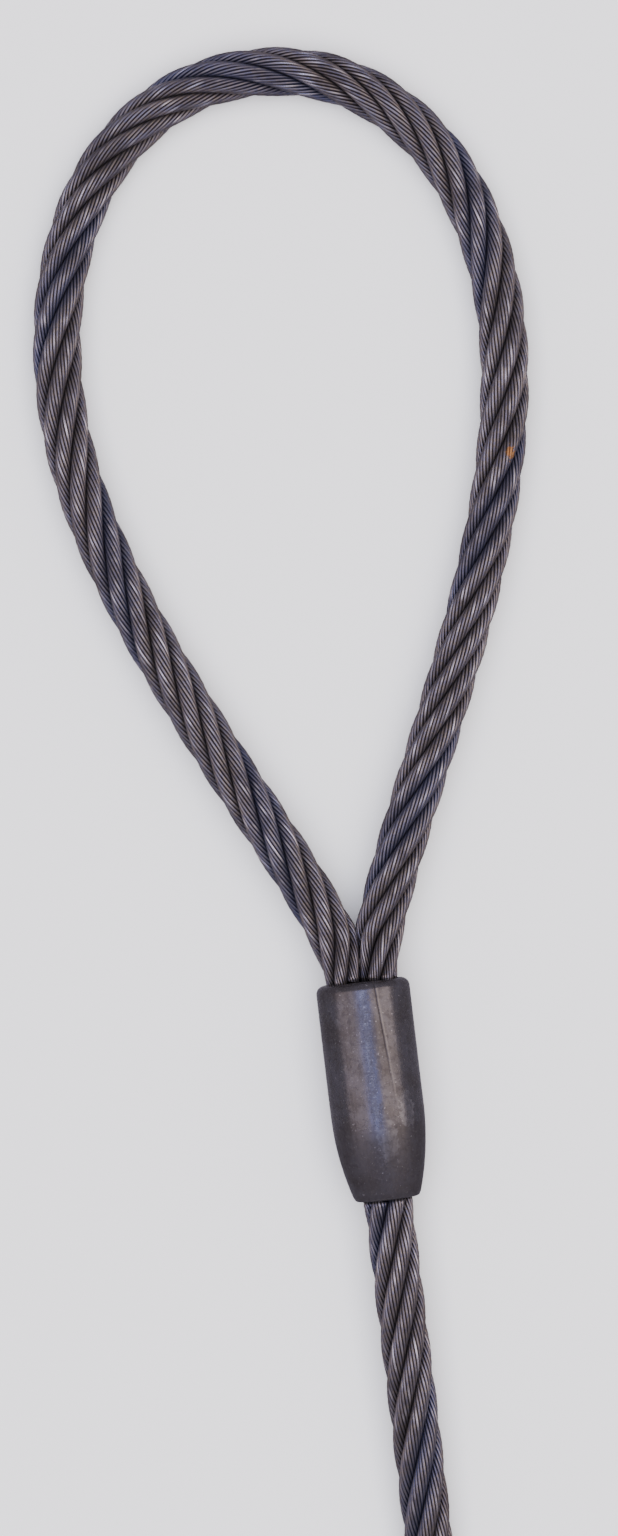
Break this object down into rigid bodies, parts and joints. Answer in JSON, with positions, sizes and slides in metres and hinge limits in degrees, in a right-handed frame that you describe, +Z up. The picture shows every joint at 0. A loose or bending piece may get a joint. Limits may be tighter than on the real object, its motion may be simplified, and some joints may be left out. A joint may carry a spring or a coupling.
{
  "type": "wire rope sling",
  "caption": "Single-leg steel wire rope sling: right regular lay rope with a soft eye at each end, each splice closed by a tapered swaged steel sleeve.",
  "frame": {"origin": "on the floor under the middle of the whole sling's box", "axes": "+Y along the sling, towards the near eye; +Z up from the floor that the sling lies on; +X across the sling, to the right when looking along +Y from above"},
  "size_m": [0.1423, 0.9395, 0.0241],
  "materials": {
    "rope_wire": "drawn bright carbon steel wire under a dark film of lubricant, grimy between the strands",
    "rope_core": "greased steel wire core",
    "sleeve_steel": "swaged carbon steel, smooth from the die, blue-grey with brown oxide and die lines"
  },
  "bodies": {
    "root": {"near_eye_strands": "rope_wire", "near_eye_core": "rope_core", "near_sleeve": "sleeve_steel", "near_splice_core": "rope_core", "near_splice_live_strand_1": "rope_wire", "near_splice_tail_strand_1": "rope_wire", "near_splice_live_strand_2": "rope_wire", "near_splice_tail_strand_2": "rope_wire", "near_splice_live_strand_3": "rope_wire", "near_splice_tail_strand_3": "rope_wire", "near_splice_live_strand_4": "rope_wire", "near_splice_tail_strand_4": "rope_wire", "near_splice_live_strand_5": "rope_wire", "near_splice_tail_strand_5": "rope_wire", "near_splice_live_strand_6": "rope_wire", "near_splice_tail_strand_6": "rope_wire", "far_eye_strands": "rope_wire", "far_eye_core": "rope_core", "far_sleeve": "sleeve_steel", "far_splice_core": "rope_core", "far_splice_live_strand_1": "rope_wire", "far_splice_tail_strand_1": "rope_wire", "far_splice_live_strand_2": "rope_wire", "far_splice_tail_strand_2": "rope_wire", "far_splice_live_strand_3": "rope_wire", "far_splice_tail_strand_3": "rope_wire", "far_splice_live_strand_4": "rope_wire", "far_splice_tail_strand_4": "rope_wire", "far_splice_live_strand_5": "rope_wire", "far_splice_tail_strand_5": "rope_wire", "far_splice_live_strand_6": "rope_wire", "far_splice_tail_strand_6": "rope_wire", "body_strands": "rope_wire", "body_core": "rope_core"}
  },
  "joints": []
}
